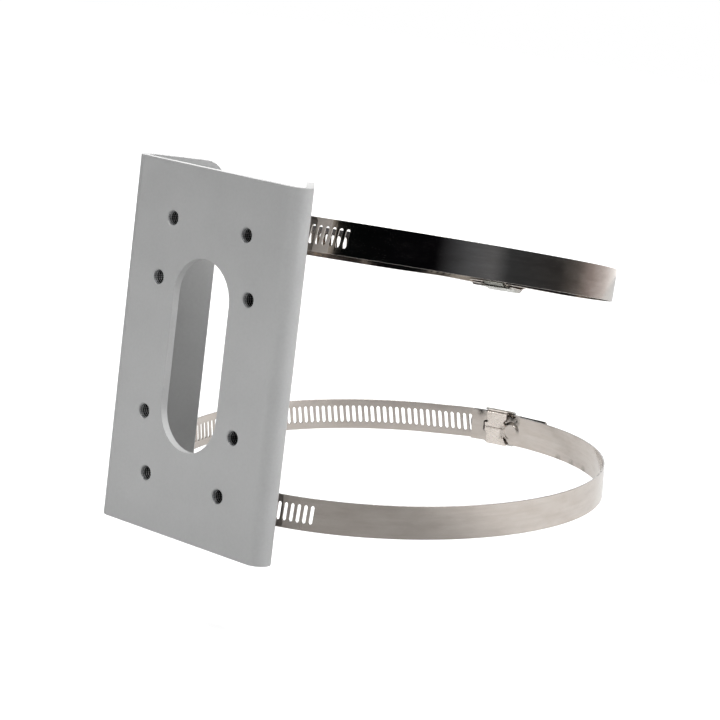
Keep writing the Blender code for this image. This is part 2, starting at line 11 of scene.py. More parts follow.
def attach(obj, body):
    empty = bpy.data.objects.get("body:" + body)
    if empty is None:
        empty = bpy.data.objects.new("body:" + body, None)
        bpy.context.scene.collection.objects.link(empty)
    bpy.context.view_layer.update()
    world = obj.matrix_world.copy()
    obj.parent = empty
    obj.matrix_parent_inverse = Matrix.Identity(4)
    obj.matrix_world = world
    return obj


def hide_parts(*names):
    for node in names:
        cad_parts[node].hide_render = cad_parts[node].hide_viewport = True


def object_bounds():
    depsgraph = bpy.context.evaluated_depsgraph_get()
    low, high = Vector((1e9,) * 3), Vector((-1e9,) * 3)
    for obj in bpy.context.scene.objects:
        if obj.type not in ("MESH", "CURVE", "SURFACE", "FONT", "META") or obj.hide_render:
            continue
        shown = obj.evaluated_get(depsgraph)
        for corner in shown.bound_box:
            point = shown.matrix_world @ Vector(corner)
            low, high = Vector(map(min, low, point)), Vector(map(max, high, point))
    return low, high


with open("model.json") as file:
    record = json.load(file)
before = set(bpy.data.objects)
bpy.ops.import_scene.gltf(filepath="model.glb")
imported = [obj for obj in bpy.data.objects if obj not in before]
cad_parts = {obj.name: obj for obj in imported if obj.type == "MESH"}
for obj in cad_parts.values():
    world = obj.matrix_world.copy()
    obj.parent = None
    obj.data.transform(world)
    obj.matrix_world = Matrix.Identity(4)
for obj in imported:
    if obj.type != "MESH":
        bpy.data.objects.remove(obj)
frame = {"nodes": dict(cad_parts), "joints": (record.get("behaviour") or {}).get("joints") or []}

CAD_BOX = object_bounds()
MILLIMETRE = 0.001

# Names, bodies and finishes of the copies that replace imported nodes
DRESSED = {
    "bracket_plate": ("plate", "bracket", "plate_paint"),
    "strap_band_upper": ("band_upper", "upper_strap", "band_steel"),
    "strap_band_lower": ("band_lower", "lower_strap", "band_steel"),
    "clamp_housing_upper": ("housing_upper", "upper_strap", "clamp_steel"),
    "clamp_housing_lower": ("housing_lower", "lower_strap", "clamp_steel"),
    "worm_screw_upper": ("screw_upper", "upper_screw", "screw_steel"),
    "worm_screw_lower": ("screw_lower", "lower_screw", "screw_steel"),
}

# Edge rounding of each finish: width in metres and steps
ROUNDING = {
    "plate_paint": (0.00045, 3),
    "band_steel": (0.00014, 2),
    "clamp_steel": (0.00012, 2),
    "screw_steel": (0.00010, 2),
}
SADDLE_ROUNDING = (0.00010, 2)

# Edges that are rounded, faces that are joined into one, and points that are welded
SHARP_EDGE = radians(28)
SADDLE_SHARP_EDGE = radians(60)
FLAT_JOIN = radians(0.4)
WELD = 0.000002

# Angles above which the shading of a piece keeps a crease
CREASE_COPY = radians(60)
CREASE_BUILT = radians(50)
CREASE_BOSS = radians(40)

# Tapped holes of the plate: their places across and up from its middle
HOLE_PLACES = ((0.0201, 0.04895), (0.0247, 0.0258))
FRONT_FACE = -0.027956

# Their threads: length, pitch and radii; the run-out at each end is in turns
THREAD_START = 0.0004
THREAD_LENGTH = 0.0058
THREAD_PITCH = 0.0010
THREAD_OUTER = 0.00285
THREAD_ROOT = 0.00274
# Faces inside this radius take the crest steel, which is painted lighter: painted highlight
THREAD_HIGHLIGHT_RADIUS = 0.00250
THREAD_CREST = 0.00242
THREAD_RUN_OUT = 0.5
THREAD_STEEPNESS = 1.5
THREAD_SIDES = 64
THREAD_RINGS = 10

# Strap loops: radius, how far the centre lies behind the tilt axis, and the frame of
# each: the tilt axis, the tilt, the roll and how far the centre lies to the right
LOOP_RADIUS = 0.086
LOOP_CENTRE_Y = 0.0800
LOOPS = {
    "upper": (Vector((0, -0.007778, 0.049652)), radians(-7.2), radians(-3.6), 0.0050),
    "lower": (Vector((0, -0.007778, -0.051784)), radians(5.0), radians(-0.75), 0.0109),
}

# Clamps: the band's upward direction at each, and the worm's distance from the band
CLAMP_UP = {
    "upper": Vector((-0.158059, 0.606758, 0.779014)),
    "lower": Vector((-0.013090, -0.087148, 0.996109)),
}
WORM_DISTANCE = 0.006375

# Band and saddle sheets round the clamp
BAND_HALF_WIDTH = 0.00635
BAND_HALF_THICKNESS = 0.000325
SADDLE_INNER = 0.0003
SADDLE_SHEET = 0.0006
SADDLE_FRONT = 0.0046
SADDLE_BACK = -0.0045
SADDLE_SEAM = 0.00017
SADDLE_STATIONS = 56
SADDLE_FOLD_STEPS = 8
SADDLE_STEPS = 24
# The tabs are where the saddle faces the pole and leans less than this sideways
TAB_LEAN = 0.5

# The rear end of the tabs is pressed down to the band beside the boss: how far it
# reaches along the strap, how wide it is, and what is left of its height
PRESS_LENGTH = 0.0022
PRESS_WIDTH = (-0.0040, 0.0020)
PRESS_EDGE = 0.0006
PRESS_REST = 0.10

# Ends of the saddle's two tabs along the strap, in millimetres: height across the
# band, then where the tab ends on the side of the plain end and of the tail
TAB_FRONT = (
    (-6.4, 4.6),
    (-4.5, 4.5),
    (-2.9, 4.3),
    (-1.8, 5.5),
    (1.8, 5.6),
    (1.9, 4.1),
    (2.6, 4.0),
    (2.8, 4.4),
    (6.4, 4.6),
)
TAB_REAR = (
    (-6.4, -5.3),
    (-5.2, -4.5),
    (-4.0, -3.6),
    (-3.4, -3.5),
    (-3.2, -4.0),
    (2.3, -4.0),
    (2.4, -3.5),
    (3.2, -3.5),
    (3.4, -4.0),
    (3.9, -4.0),
    (4.1, -4.9),
    (6.4, -5.0),
)

# Piercings of the band beside the saddle, in millimetres across and along it, and
# how far their cutter reaches each side of the band's middle, in metres
PIERCINGS = (
    (
        (-3.0, 4.5),
        (-2.0, 6.5),
        (-1.6, 6.7),
        (2.0, 6.7),
        (2.6, 5.0),
        (2.6, 4.0),
        (-3.0, 4.0),
    ),
    (
        (-3.9, -3.4),
        (-4.3, -4.9),
        (-5.4, -5.6),
        (-5.9, -6.4),
        (-6.1, -5.2),
        (-5.0, -4.2),
    ),
    (
        (3.1, -4.0),
        (3.1, -4.9),
        (4.6, -5.6),
        (7.0, -5.5),
        (7.0, -4.9),
        (4.2, -4.8),
        (4.0, -4.0),
    ),
    ((5.45, -5.2), (5.35, -8.4), (5.9, -9.1), (7.0, -9.4), (7.0, -5.2)),
)
CUTTER_REACH = 0.0006

# Locking boss pressed out of the band towards the pole; its rim is sunk in the band
BOSS_PLACE = (-0.0003, -0.0072)
BOSS_RADIUS = 0.0045
BOSS_CROWN = 0.0026
BOSS_HEIGHT = 0.00053
BOSS_SINK = 0.00006
BOSS_RINGS = 12
BOSS_SIDES = 40

# Cut edges of the bands: faces that look up at least this much, painted darker than the band as
# painted shade
EDGE_FACING = 0.8

# Range in which most of a noise lies
NOISE_RANGE = (0.25, 0.75)

# Colours over a noise, as pairs of its level and the colour there
PAINT_TONES = ((0.30, (0.350, 0.352, 0.352)), (0.72, (0.380, 0.382, 0.382)))
PAINT_GRAIN = ((0.30, (0.90, 0.90, 0.90)), (0.70, (1.0, 1.0, 1.0)))
BAND_TONES = (
    (0.28, (0.53, 0.48, 0.435)),
    (0.52, (0.59, 0.54, 0.495)),
    (0.76, (0.63, 0.585, 0.54)),
)
BAND_STREAKS = ((0.30, (0.86, 0.86, 0.86)), (0.66, (1.0, 1.0, 1.0)))
SCREW_TONES = (
    (0.32, (0.08, 0.074, 0.07)),
    (0.55, (0.16, 0.15, 0.145)),
    (0.80, (0.28, 0.27, 0.26)),
)

# Steels of the clamps: their dark, middle and light tone, and the noise level of each
CLAMP_LEVELS = (0.28, 0.46, 0.75)
CLAMP_TONES = {
    "saddle_steel": ((0.68, 0.62, 0.565), (0.76, 0.695, 0.64), (0.83, 0.765, 0.71)),
    # Upper saddle: the same steel as the lower one, painted dark as a painted reflection of dark
    # surroundings
    "saddle_steel_painted_dark": ((0.13, 0.13, 0.115), (0.21, 0.21, 0.19), (0.34, 0.34, 0.31)),
    "housing_steel": ((0.44, 0.44, 0.415), (0.56, 0.56, 0.53), (0.68, 0.675, 0.645)),
    # Upward cut edges of the bands, painted darker: painted shade
    "top_edge_steel_painted_dark": ((0.20, 0.20, 0.20), (0.30, 0.30, 0.30), (0.42, 0.42, 0.42)),
}

# Threads in the holes: dark and light tone of each steel, and the painted shade that
# blackens them deeper in the hole, which sets in between two depths
THREAD_TONES = {
    # The crests are painted much lighter than the roots: painted highlight on the crests,
    # painted shade in the roots
    "thread_root": ((0.30, (0.14, 0.145, 0.15)), (0.70, (0.22, 0.226, 0.232))),
    "thread_crest": ((0.30, (0.60, 0.61, 0.62)), (0.70, (0.78, 0.79, 0.80))),
}
DEEP_SHADE_COLOUR = (0.004, 0.0045, 0.005)
DEEP_SHADE_DEPTHS = (FRONT_FACE + 0.0007, FRONT_FACE + 0.0024)

# Polish of the two straps
BAND_ROUGHNESS = {"upper": (0.05, 0.13), "lower": (0.09, 0.17)}

# Painted shade in the crevices of each clamp, in millimetres in the clamp's frame: place
# up, out and along, then radius; its spots are flat, so that each stays on its sheet
# Colour and patches of the painted crevice shade, which the band's dark marks share
SHADE_AND_MARK_COLOUR = (0.035, 0.034, 0.031)
CREVICE_SHADE_FLATNESS = 5
CREVICE_SHADE_CORE = 0.2
SHADE_AND_MARK_PATCHES = (0.34, 0.60)
SHADE_AND_MARK_PATCH_SHARE = (0.35, 1.0)
CREVICE_SHADE = (
    (5.4, -0.64, -7.3, 3.0),
    (4.4, -0.84, -9.4, 2.9),
    (6.0, -0.66, 7.6, 2.9),
    (5.6, 0.6, -7.0, 2.6),
    (2.6, 0.9, -4.8, 1.3),
    (-5.0, 0.9, -5.0, 1.5),
    (1.4, 1.1, 6.3, 1.4),
    (-1.0, 1.1, 6.3, 1.4),
)

# Three dark marks at the lower edge of the lower band: places, radius and strength
BAND_DARK_MARKS = (
    (0.02944, 0.15558, -0.04340),
    (0.03873, 0.15294, -0.04340),
    (0.04873, 0.14882, -0.04370),
)
BAND_MARK_REACH = 0.0026
BAND_MARK_SHARE = 0.75

# Camera, in the row frame
CAMERA_PLACE = (0.74747, -0.729666, 0.16976)
CAMERA_RIGHT = (0.7087025, 0.6956637, 0.1174433)
CAMERA_DOWN = (0.1941236, -0.0322411, -0.9804471)
CAMERA_AHEAD = (-0.6782749, 0.7176438, -0.1578941)
CAMERA_LENS = 139.488
CAMERA_SENSOR = 36
CAMERA_CLIP = (0.05, 20)

# World: the light that it gives, and the white that is seen directly
WORLD_LIGHT = 0.38
WORLD_WHITE = 1.0

# Lamps: place, target, size, power, and whether reflections show it
LAMPS = {
    "overhead": ((0.5, 0.0, 1.5), (0, 0, 0), 1.3, 42, True),
    "front": ((-0.6, -1.6, 0.15), (0, 0, 0), 1.2, 2.5, True),
    "low": ((-0.11, -0.24, -0.06), (-0.02, 0, -0.06), 0.06, 0.12, True),
    "behind": ((1.0, 1.3, 0.8), (0, 0, 0), 1.0, 17, True),
    "top": ((0.005, -0.004, 0.110), (-0.040, -0.006, 0.062), 0.03, 0.026, False),
}

# Dark flag: its angles round the part, its height as an angle, and its shades
FLAG_RADIUS = 1.0
FLAG_START = radians(-110)
FLAG_END = radians(230)
FLAG_HIGH = radians(67)
FLAG_STEPS = 110
FLAG_SHADES = (
    (-110, (0.10, 0.10, 0.10)),
    (-95, (0.02, 0.02, 0.02)),
    (-52, (0.02, 0.02, 0.02)),
    (-38, (0.20, 0.19, 0.18)),
    (-25, (0.40, 0.38, 0.35)),
    (11, (0.40, 0.38, 0.35)),
    (13, (0.002, 0.003, 0.003)),
    (66, (0.002, 0.002, 0.003)),
    (84, (0.12, 0.13, 0.145)),
    (95, (0.16, 0.17, 0.185)),
    (104, (0.05, 0.055, 0.06)),
    (135, (0.04, 0.04, 0.04)),
    (148, (0.14, 0.13, 0.125)),
    (160, (0.40, 0.35, 0.34)),
    (175, (0.74, 0.69, 0.68)),
    (185, (1.0, 0.96, 0.95)),
    (200, (1.20, 1.17, 1.15)),
    (230, (1.25, 1.22, 1.20)),
)

# Floor and reflection card: half their width, how far below the plate's foot they
# lie, their tone, and the glow that the camera sees, which grows with the distance
FLOOR_REACH = 4.0
FLOOR_CELLS = 4
FLOOR_DROP = 0.031
CARD_DROP = 0.0004
FLOOR_TONE = 0.54
GLOW_REACH = (0.30, 1.30)
GLOW_STRENGTH = (0.50, 0.85)

# Soft shade on them that the polished steel picks up
SHADE_PLACE = (0.085, -0.055, 0)
SHADE_REACH = (0.055, 0.210)
SHADE_DEPTH = 0.55


# Meshes


def finish_mesh(builder, name, crease=SHARP_EDGE):
    """Turns a builder into a linked object with smooth faces and sharp creases."""
    mesh = bpy.data.meshes.new(name)
    builder.to_mesh(mesh)
    builder.free()
    for face in mesh.polygons:
        face.use_smooth = True
    mesh.set_sharp_from_angle(angle=crease)
    made = bpy.data.objects.new(name, mesh)
    bpy.context.scene.collection.objects.link(made)
    return made


def round_edges(builder, sharper_than, width, steps):
    """Rounds each edge at which two faces turn by more than an angle."""
    sharp = [
        edge
        for edge in builder.edges
        if len(edge.link_faces) == 2 and edge.calc_face_angle(0) > sharper_than
    ]
    bmesh.ops.bevel(
        builder,
        geom=sharp,
        offset=width,
        offset_type="OFFSET",
        segments=steps,
        profile=0.5,
        affect="EDGES",
        clamp_overlap=True,
    )


def rounded_copy(node, name, width, steps):
    """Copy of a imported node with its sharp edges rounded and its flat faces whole."""
    builder = bmesh.new()
    builder.from_mesh(frame["nodes"][node].data)
    bmesh.ops.remove_doubles(builder, verts=builder.verts, dist=WELD)
    bmesh.ops.dissolve_limit(
        builder, angle_limit=FLAT_JOIN, verts=builder.verts, edges=builder.edges
    )
    round_edges(builder, SHARP_EDGE, width, steps)
    return finish_mesh(builder, name, CREASE_COPY)


def even_normals(piece):
    """Lets the wide faces lead the shading, so that they look flat."""
    weighted = piece.modifiers.new("even normals", "WEIGHTED_NORMAL")
    weighted.keep_sharp = True
    weighted.weight = 100


def thread_sleeve(builder, x, z):
    """Thread of one tapped hole, as a thin sleeve that lines the hole along Y."""
    count = round(THREAD_LENGTH / THREAD_PITCH * THREAD_RINGS)
    rings = []
    for step in range(count + 1):
        depth = THREAD_LENGTH * step / count
        turns = min(step, count - step) / THREAD_RINGS
        fade = min(1, turns / THREAD_RUN_OUT)
        ring = []
        for side in range(THREAD_SIDES):
            phase = (depth / THREAD_PITCH - side / THREAD_SIDES) % 1
            rise = THREAD_STEEPNESS - abs(4 * phase - 2) * THREAD_STEEPNESS
            rise = min(1, max(0, rise)) * fade
            radius = THREAD_ROOT - (THREAD_ROOT - THREAD_CREST) * rise
            ring.append((side, radius, depth))
        rings.append(ring)
    for depth in (THREAD_LENGTH, 0):
        rings.append([(side, THREAD_OUTER, depth) for side in range(THREAD_SIDES)])
    made = []
    for ring in rings:
        row = []
        for side, radius, depth in ring:
            angle = 2 * pi * side / THREAD_SIDES
            y = FRONT_FACE + THREAD_START + depth
            spot = (x + radius * cos(angle), y, z + radius * sin(angle))
            row.append(builder.verts.new(spot))
        made.append(row)
    for index, (before, after) in enumerate(zip(made, made[1:] + made[:1])):
        for side in range(THREAD_SIDES):
            onward = (side + 1) % THREAD_SIDES
            face = builder.faces.new(
                (before[side], before[onward], after[onward], after[side])
            )
            # Faces at the crests take the lighter steel: painted highlight
            face.material_index = int(rings[index][side][1] < THREAD_HIGHLIGHT_RADIUS)


def clamp_place(which):
    """Frame on the band at its clamp: X up across it, Y outwards, Z along it."""
    joint = next(j for j in frame["joints"] if j["name"] == which + "_worm_turn")
    along = Vector(joint["axis"])
    up = CLAMP_UP[which]
    out = along.cross(up)
    matrix = Matrix((up, out, along)).transposed().to_4x4()
    matrix.translation = Vector(joint["pos_m"]) - out * WORM_DISTANCE
    return matrix


def bent(x, y, z):
    """Place on the band, bent round the loop."""
    angle = z / LOOP_RADIUS
    radius = LOOP_RADIUS + y
    return Vector((x, radius * cos(angle) - LOOP_RADIUS, radius * sin(angle)))


def level_at(table, x):
    """Straight-line reading of a table of millimetre pairs."""
    position = min(max(x / MILLIMETRE, table[0][0]), table[-1][0])
    for (low, first), (high, second) in zip(table, table[1:]):
        if position <= high:
            share = (position - low) / (high - low)
            return (first + (second - first) * share) * MILLIMETRE
    return table[-1][1] * MILLIMETRE


def saddle_section():
    """Stations round the band from seam to seam: place, and direction out of it."""
    stations = []
    half = BAND_HALF_WIDTH
    for step in range(SADDLE_STATIONS + 1):
        x = SADDLE_SEAM + (half - SADDLE_SEAM) * step / SADDLE_STATIONS
        stations.append((x, -BAND_HALF_THICKNESS, 0, -1))
    for step in range(1, SADDLE_FOLD_STEPS):
        angle = -pi / 2 + pi / 2 * step / SADDLE_FOLD_STEPS
        stations.append((half, -BAND_HALF_THICKNESS, cos(angle), sin(angle)))
    stations.append((half, BAND_HALF_THICKNESS, 1, 0))
    for step in range(1, SADDLE_FOLD_STEPS + 1):
        angle = pi / 2 * step / SADDLE_FOLD_STEPS
        stations.append((half, BAND_HALF_THICKNESS, cos(angle), sin(angle)))
    mirrored = [(-x, y, -across, out) for x, y, across, out in reversed(stations)]
    return stations + mirrored


def smooth_step(value):
    """Smooth rise from none to one."""
    held = min(1, max(0, value))
    return held * held * (3 - 2 * held)


def pressed(x, from_end):
    """Share of the saddle's height that is left beside the boss."""
    low, high = PRESS_WIDTH
    inside = smooth_step((x - low) / PRESS_EDGE) * smooth_step((high - x) / PRESS_EDGE)
    near = 1 - smooth_step(from_end / PRESS_LENGTH)
    return 1 - (1 - PRESS_REST) * inside * near


def build_saddle(which):
    """Saddle folded round the band, its two tabs cut to fit the lock."""
    place = clamp_place(which)
    builder = bmesh.new()
    rows = []
    for x, y, across, out in saddle_section():
        on_tab = out < 0 and abs(across) < TAB_LEAN
        front = level_at(TAB_FRONT, x) if on_tab else SADDLE_FRONT
        rear = level_at(TAB_REAR, x) if on_tab else SADDLE_BACK
        row = []
        for offset in (SADDLE_INNER, SADDLE_INNER + SADDLE_SHEET):
            line = []
            for step in range(SADDLE_STEPS + 1):
                z = rear + (front - rear) * step / SADDLE_STEPS
                height = offset * (pressed(x, z - rear) if on_tab else 1)
                spot = bent(x + across * offset, y + out * height, z)
                line.append(builder.verts.new(place @ spot))
            row.append(line)
        rows.append(row)
    for before, after in zip(rows, rows[1:]):
        for step in range(SADDLE_STEPS):
            for layer in (0, 1):
                builder.faces.new(
                    (
                        before[layer][step],
                        after[layer][step],
                        after[layer][step + 1],
                        before[layer][step + 1],
                    )
                )
        for end in (0, -1):
            builder.faces.new(
                (before[0][end], after[0][end], after[1][end], before[1][end])
            )
    for row in (rows[0], rows[-1]):
        for step in range(SADDLE_STEPS):
            builder.faces.new(
                (row[0][step], row[0][step + 1], row[1][step + 1], row[1][step])
            )
    bmesh.ops.recalc_face_normals(builder, faces=builder.faces)
    round_edges(builder, SADDLE_SHARP_EDGE, *SADDLE_ROUNDING)
    return finish_mesh(builder, "saddle_" + which, CREASE_BUILT)


def build_boss(which):
    """Locking boss: a low round crown on the inner face of the band."""
    place = clamp_place(which)
    middle_x, middle_z = BOSS_PLACE
    builder = bmesh.new()
    rings = []
    for ring in range(1, BOSS_RINGS + 1):
        radius = BOSS_RADIUS * ring / BOSS_RINGS
        fall = min(1, max(0, (radius - BOSS_CROWN) / (BOSS_RADIUS - BOSS_CROWN)))
        rise = BOSS_HEIGHT * (1 + cos(pi * fall)) / 2 - BOSS_SINK
        row = []
        for side in range(BOSS_SIDES):
            angle = 2 * pi * side / BOSS_SIDES
            x = middle_x + radius * cos(angle)
            z = middle_z + radius * sin(angle)
            spot = bent(x, -BAND_HALF_THICKNESS - rise, z)
            row.append(builder.verts.new(place @ spot))
        rings.append(row)
    rise = BOSS_HEIGHT - BOSS_SINK
    crown = bent(middle_x, -BAND_HALF_THICKNESS - rise, middle_z)
    top = builder.verts.new(place @ crown)
    root = builder.verts.new(place @ bent(middle_x, 0, middle_z))
    for side in range(BOSS_SIDES):
        onward = (side + 1) % BOSS_SIDES
        builder.faces.new((top, rings[0][side], rings[0][onward]))
        builder.faces.new((root, rings[-1][onward], rings[-1][side]))
        for before, after in zip(rings, rings[1:]):
            builder.faces.new(
                (before[side], after[side], after[onward], before[onward])
            )
    bmesh.ops.recalc_face_normals(builder, faces=builder.faces)
    return finish_mesh(builder, "lock_boss_" + which, CREASE_BOSS)


def pierce(piece, which):
    """Cuts the piercings of the lock through the band."""
    place = clamp_place(which)
    builder = bmesh.new()
    for outline in PIERCINGS:
        rings = []
        for y in (-CUTTER_REACH, CUTTER_REACH):
            ring = []
            for x, z in outline:
                spot = bent(x * MILLIMETRE, y, z * MILLIMETRE)
                ring.append(builder.verts.new(place @ spot))
            rings.append(ring)
        low, high = rings
        builder.faces.new(low)
        builder.faces.new(high)
        for index in range(len(outline)):
            onward = (index + 1) % len(outline)
            builder.faces.new((low[index], low[onward], high[onward], high[index]))
    bmesh.ops.recalc_face_normals(builder, faces=builder.faces)
    cutter = finish_mesh(builder, "lock_cutter")
    boolean = piece.modifiers.new("lock", "BOOLEAN")
    boolean.operation = "DIFFERENCE"
    boolean.solver = "EXACT"
    boolean.use_self = True
    boolean.object = cutter
    graph = bpy.context.evaluated_depsgraph_get()
    cut_mesh = bpy.data.meshes.new_from_object(piece.evaluated_get(graph))
    piece.modifiers.clear()
    piece.data = cut_mesh
    bpy.data.objects.remove(cutter)


def build_threads():
    """Threads of the eight tapped holes as one piece on the plate."""
    builder = bmesh.new()
    for across, up in HOLE_PLACES:
        for side in (-1, 1):
            for level in (-1, 1):
                thread_sleeve(builder, side * across, level * up)
    bmesh.ops.recalc_face_normals(builder, faces=builder.faces)
    return finish_mesh(builder, "hole_threads", CREASE_BUILT)


# Materials


class Graph:
    """Node tree of a material or of the world, built node by node."""

    def __init__(self, tree):
        self.tree = tree

    def node(self, kind, **settings):
        made = self.tree.nodes.new(kind)
        for key, value in settings.items():
            setattr(made, key, value)
        return made

    def join(self, source, target):
        """Links a socket to an input, or gives the input a constant value."""
        if isinstance(source, bpy.types.NodeSocket):
            self.tree.links.new(source, target)
        else:
            target.default_value = source

    def place(self):
        """Coordinates that ride with the piece, in metres."""
        return self.node("ShaderNodeTexCoord").outputs["Object"]

    def framed(self, place, location=(0, 0, 0), rotation=(0, 0, 0), scale=(1, 1, 1)):
        """Coordinates as a moved, turned and scaled frame reads them."""
        made = self.node("ShaderNodeMapping", vector_type="TEXTURE")
        self.join(place, made.inputs["Vector"])
        self.join(location, made.inputs["Location"])
        self.join(rotation, made.inputs["Rotation"])
        self.join(scale, made.inputs["Scale"])
        return made.outputs["Vector"]

    def stretched(self, place, scale):
        """Coordinates scaled apart along each axis."""
        made = self.node("ShaderNodeMapping")
        self.join(place, made.inputs["Vector"])
        self.join(scale, made.inputs["Scale"])
        return made.outputs["Vector"]

    def split(self, place):
        """The three coordinates of a place."""
        made = self.node("ShaderNodeSeparateXYZ")
        self.join(place, made.inputs["Vector"])
        return made.outputs

    def maths(self, operation, first, second):
        made = self.node("ShaderNodeMath", operation=operation)
        self.join(first, made.inputs[0])
        self.join(second, made.inputs[1])
        return made.outputs["Value"]

    def distance(self, place, spot):
        made = self.node("ShaderNodeVectorMath", operation="DISTANCE")
        self.join(place, made.inputs[0])
        self.join(spot, made.inputs[1])
        return made.outputs["Value"]

    def spread(self, value, given, wanted, curve="LINEAR"):
        """Value mapped from one range to another, held at its ends."""
        made = self.node("ShaderNodeMapRange", interpolation_type=curve)
        self.join(value, made.inputs["Value"])
        names = ("From Min", "From Max", "To Min", "To Max")
        for name, number in zip(names, (*given, *wanted)):
            self.join(number, made.inputs[name])
        return made.outputs["Result"]

    def colours(self, value, stops):
        """Colour ramp over pairs of position and colour."""
        made = self.node("ShaderNodeValToRGB")
        elements = made.color_ramp.elements
        while len(elements) < len(stops):
            elements.new(0.5)
        for element, (position, colour) in zip(elements, stops):
            element.position = position
            element.color = (*colour, 1)
        self.join(value, made.inputs["Fac"])
        return made.outputs["Color"]

    def mixed(self, share, first, second, blend="MIX"):
        """Mix of two colours; the inputs of the node go by number."""
        made = self.node("ShaderNodeMix", data_type="RGBA", blend_type=blend)
        self.join(share, made.inputs[0])
        for index, source in ((6, first), (7, second)):
            colour = (*source, 1) if isinstance(source, tuple) else source
            self.join(colour, made.inputs[index])
        return made.outputs[2]


class Shader(Graph):
    """Material that is built round one Principled shader."""

    def __init__(self, name):
        self.material = bpy.data.materials.new(name)
        self.material.use_nodes = True
        super().__init__(self.material.node_tree)
        self.body = self.tree.nodes["Principled BSDF"]

    def give(self, name, source):
        self.join(source, self.body.inputs[name])

    def noise(self, place, scale, detail=3, roughness=0.6):
        made = self.node("ShaderNodeTexNoise")
        self.join(place, made.inputs["Vector"])
        self.join(scale, made.inputs["Scale"])
        self.join(detail, made.inputs["Detail"])
        self.join(roughness, made.inputs["Roughness"])
        return made.outputs["Fac"]

    def stretched_noise(self, place, scale, detail=3):
        """Noise with a scale of its own along each axis."""
        return self.noise(self.stretched(place, scale), 1, detail)

    def bump(self, height, strength, distance, under=None):
        made = self.node("ShaderNodeBump")
        self.join(height, made.inputs["Height"])
        self.join(strength, made.inputs["Strength"])
        self.join(distance, made.inputs["Distance"])
        if under is not None:
            self.join(under, made.inputs["Normal"])
        return made.outputs["Normal"]

    def loop_place(self, which):
        """Coordinates on a strap: length round its loop, and height across it."""
        pivot, tilt, roll, centre_x = LOOPS[which]
        turn = Matrix.Rotation(tilt, 3, "X") @ Matrix.Rotation(roll, 3, "Y")
        centre = pivot + turn @ Vector((centre_x, LOOP_CENTRE_Y, 0))
        parts = self.split(self.framed(self.place(), centre, turn.to_euler("XYZ")))
        angle = self.maths("ARCTAN2", parts["X"], parts["Y"])
        made = self.node("ShaderNodeCombineXYZ")
        self.join(self.maths("MULTIPLY", angle, LOOP_RADIUS), made.inputs["X"])
        self.join(parts["Z"], made.inputs["Y"])
        return made.outputs["Vector"]

    def shade_and_marks(self, place, clamps, spots=()):
        """Share, from none to one, of painted shade round the clamps and of dark marks at spots.
        """
        shares = []
        for clamp in clamps:
            matrix = clamp_place(clamp)
            size = (MILLIMETRE, MILLIMETRE / CREVICE_SHADE_FLATNESS, MILLIMETRE)
            turned = matrix.to_euler("XYZ")
            local = self.framed(place, matrix.translation, turned, size)
            for up, out, along, radius in CREVICE_SHADE:
                apart = self.distance(local, (up, out * CREVICE_SHADE_FLATNESS, along))
                shares.append(self.spread(apart, (CREVICE_SHADE_CORE * radius, radius), (1, 0)))
        for spot in spots:
            apart = self.distance(place, spot)
            reach = (0, BAND_MARK_REACH)
            shares.append(self.spread(apart, reach, (BAND_MARK_SHARE, 0)))
        total = shares[0]
        for share in shares[1:]:
            total = self.maths("MAXIMUM", total, share)
        patchy = self.noise(place, 900)
        return self.maths(
            "MULTIPLY", total, self.spread(patchy, SHADE_AND_MARK_PATCHES, SHADE_AND_MARK_PATCH_SHARE)
        )


def paint_material():
    """Satin powder paint on sheet steel, with a fine orange-peel skin."""
    shader = Shader("plate_paint")
    place = shader.place()
    clouds = shader.noise(place, 38, detail=4, roughness=0.55)
    grain = shader.noise(place, 900)
    specks = shader.noise(place, 2600, detail=2, roughness=0.5)
    base = shader.colours(clouds, PAINT_TONES)
    grained = shader.colours(grain, PAINT_GRAIN)
    shader.give("Base Color", shader.mixed(0.6, base, grained, "MULTIPLY"))
    shader.give("Roughness", shader.spread(grain, NOISE_RANGE, (0.40, 0.56)))
    peel = shader.bump(grain, strength=0.22, distance=0.00012)
    skin = shader.bump(specks, strength=0.25, distance=0.00003, under=peel)
    shader.give("Normal", skin)
    shader.give("Specular IOR Level", 0.45)
    return shader.material


def band_material(which):
    """Brushed stainless band, its brushing along the strap."""
    shader = Shader("band_steel_" + which)
    place = shader.loop_place(which)
    brushing = shader.stretched_noise(place, (70, 5200, 1), detail=4)
    streaks = shader.stretched_noise(place, (26, 700, 1))
    blotches = shader.stretched_noise(place, (90, 260, 1), detail=4)
    base = shader.colours(blotches, BAND_TONES)
    lines = shader.colours(streaks, BAND_STREAKS)
    clean = shader.mixed(0.5, base, lines, "MULTIPLY")
    spots = BAND_DARK_MARKS if which == "lower" else ()
    # Painted shade in the crevices round the clamp, and three dark marks on the lower band
    shade_and_marks = shader.shade_and_marks(shader.place(), [which], spots)
    shader.give("Base Color", shader.mixed(shade_and_marks, clean, SHADE_AND_MARK_COLOUR))
    shader.give("Metallic", 1.0)
    roughness = shader.spread(blotches, (0.30, 0.70), BAND_ROUGHNESS[which])
    shader.give("Roughness", roughness)
    shader.give("Normal", shader.bump(brushing, strength=0.05, distance=0.00003))
    return shader.material


